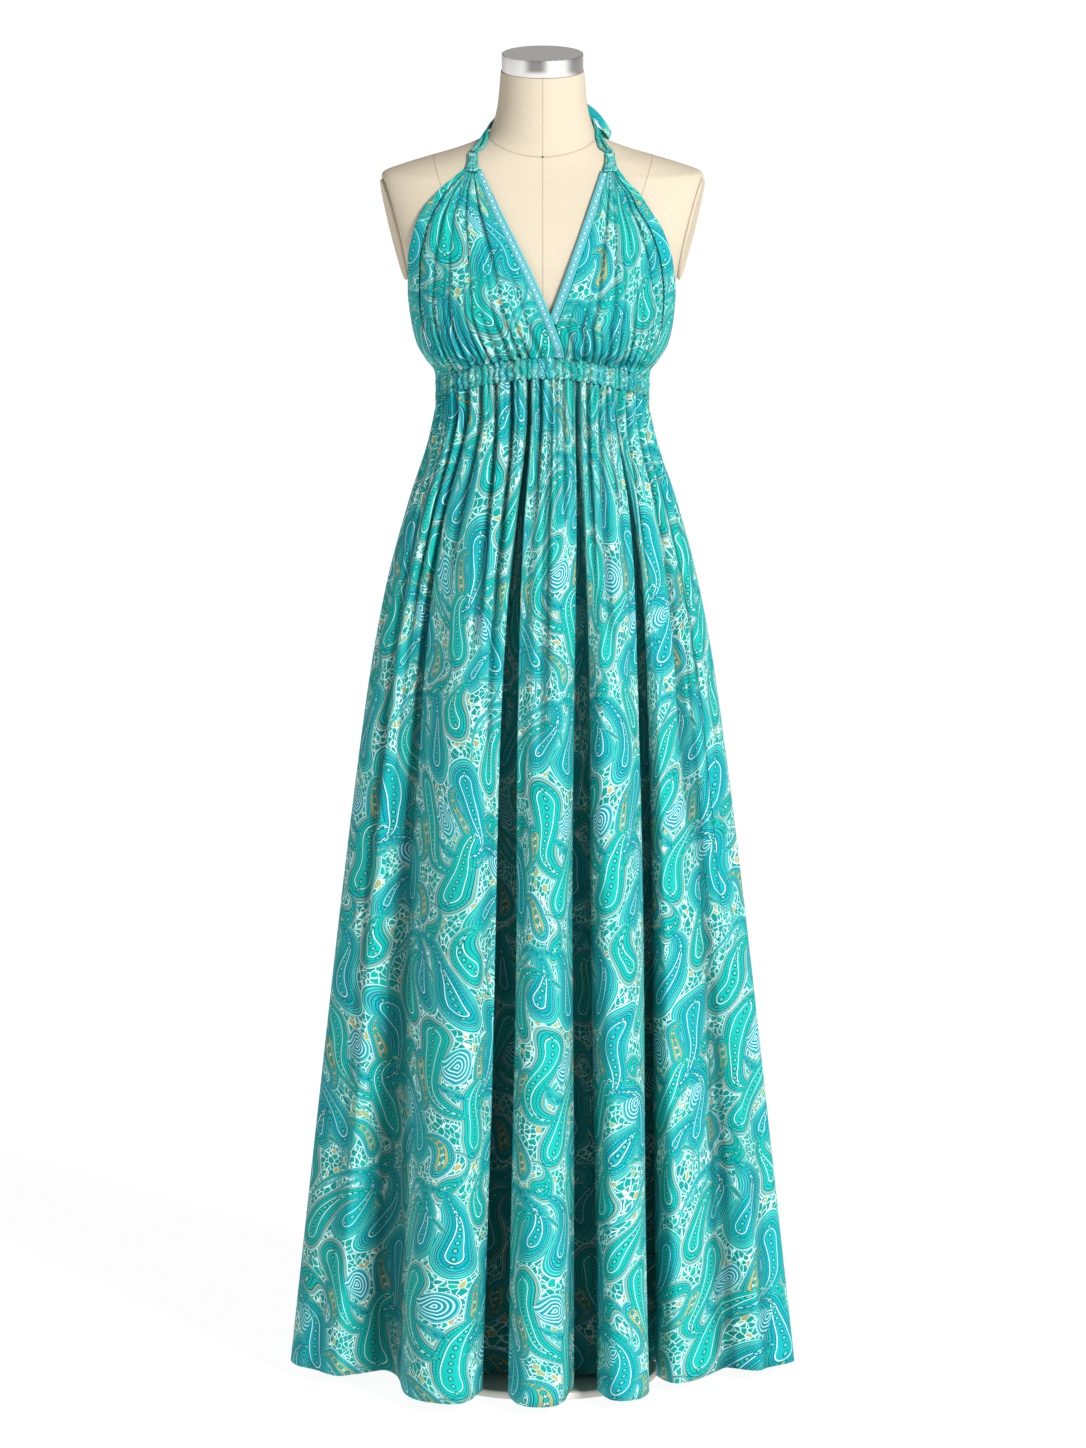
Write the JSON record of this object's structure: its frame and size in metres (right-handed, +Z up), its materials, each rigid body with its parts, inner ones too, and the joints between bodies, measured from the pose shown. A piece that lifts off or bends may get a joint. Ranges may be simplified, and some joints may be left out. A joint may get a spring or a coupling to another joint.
{
  "type": "halter-neck maxi dress on a limbless dress form with stand",
  "caption": "Long halter dress in paisley cotton with a deep V neck, gathered cups, elastic empire waist and full skirt, worn by a limbless dress form on a round base",
  "frame": {"origin": "on the floor, at the centre of the underside of the round base", "axes": "+Z up, the front of the dress faces -Y, +X is the viewer's right as seen from the front"},
  "size_m": [0.592, 0.4341, 1.5661],
  "materials": {
    "printed_cotton": "light cotton voile with a dense teal, aqua and white paisley print and small tan accents",
    "border_print": "light cotton with a narrow pale blue and aqua border print",
    "strap_cotton": "the dress's cotton, folded and stitched into narrow straps",
    "form_linen": "cream linen cover, tightly stretched, with fine seams",
    "cap_steel": "steel brushed in circles on top and along its side",
    "pole_steel": "satin steel tube",
    "base_paint": "cream powder coat"
  },
  "bodies": {
    "root": {"skirt_front": "printed_cotton", "skirt_back": "printed_cotton", "waist_band_front": "printed_cotton", "waist_band_back": "printed_cotton", "cup_left": "printed_cotton", "cup_right": "printed_cotton", "armhole_band_left": "printed_cotton", "armhole_band_right": "printed_cotton", "neck_trim_left": "border_print", "neck_trim_right": "border_print", "neck_tab_left": "printed_cotton", "neck_tab_right": "printed_cotton", "strap_left_lower": "strap_cotton", "strap_left_upper": "strap_cotton", "strap_right_lower": "strap_cotton", "strap_right_upper": "strap_cotton", "tie_knot": "strap_cotton", "bow_loop_left": "strap_cotton", "bow_loop_right": "strap_cotton", "tie_tail_left": "strap_cotton", "tie_tail_right": "strap_cotton", "form_torso": "form_linen", "arm_plate_left": "form_linen", "arm_plate_right": "form_linen", "neck_cap": "cap_steel", "stand_pole": "pole_steel", "stand_base": "base_paint"}
  },
  "joints": []
}
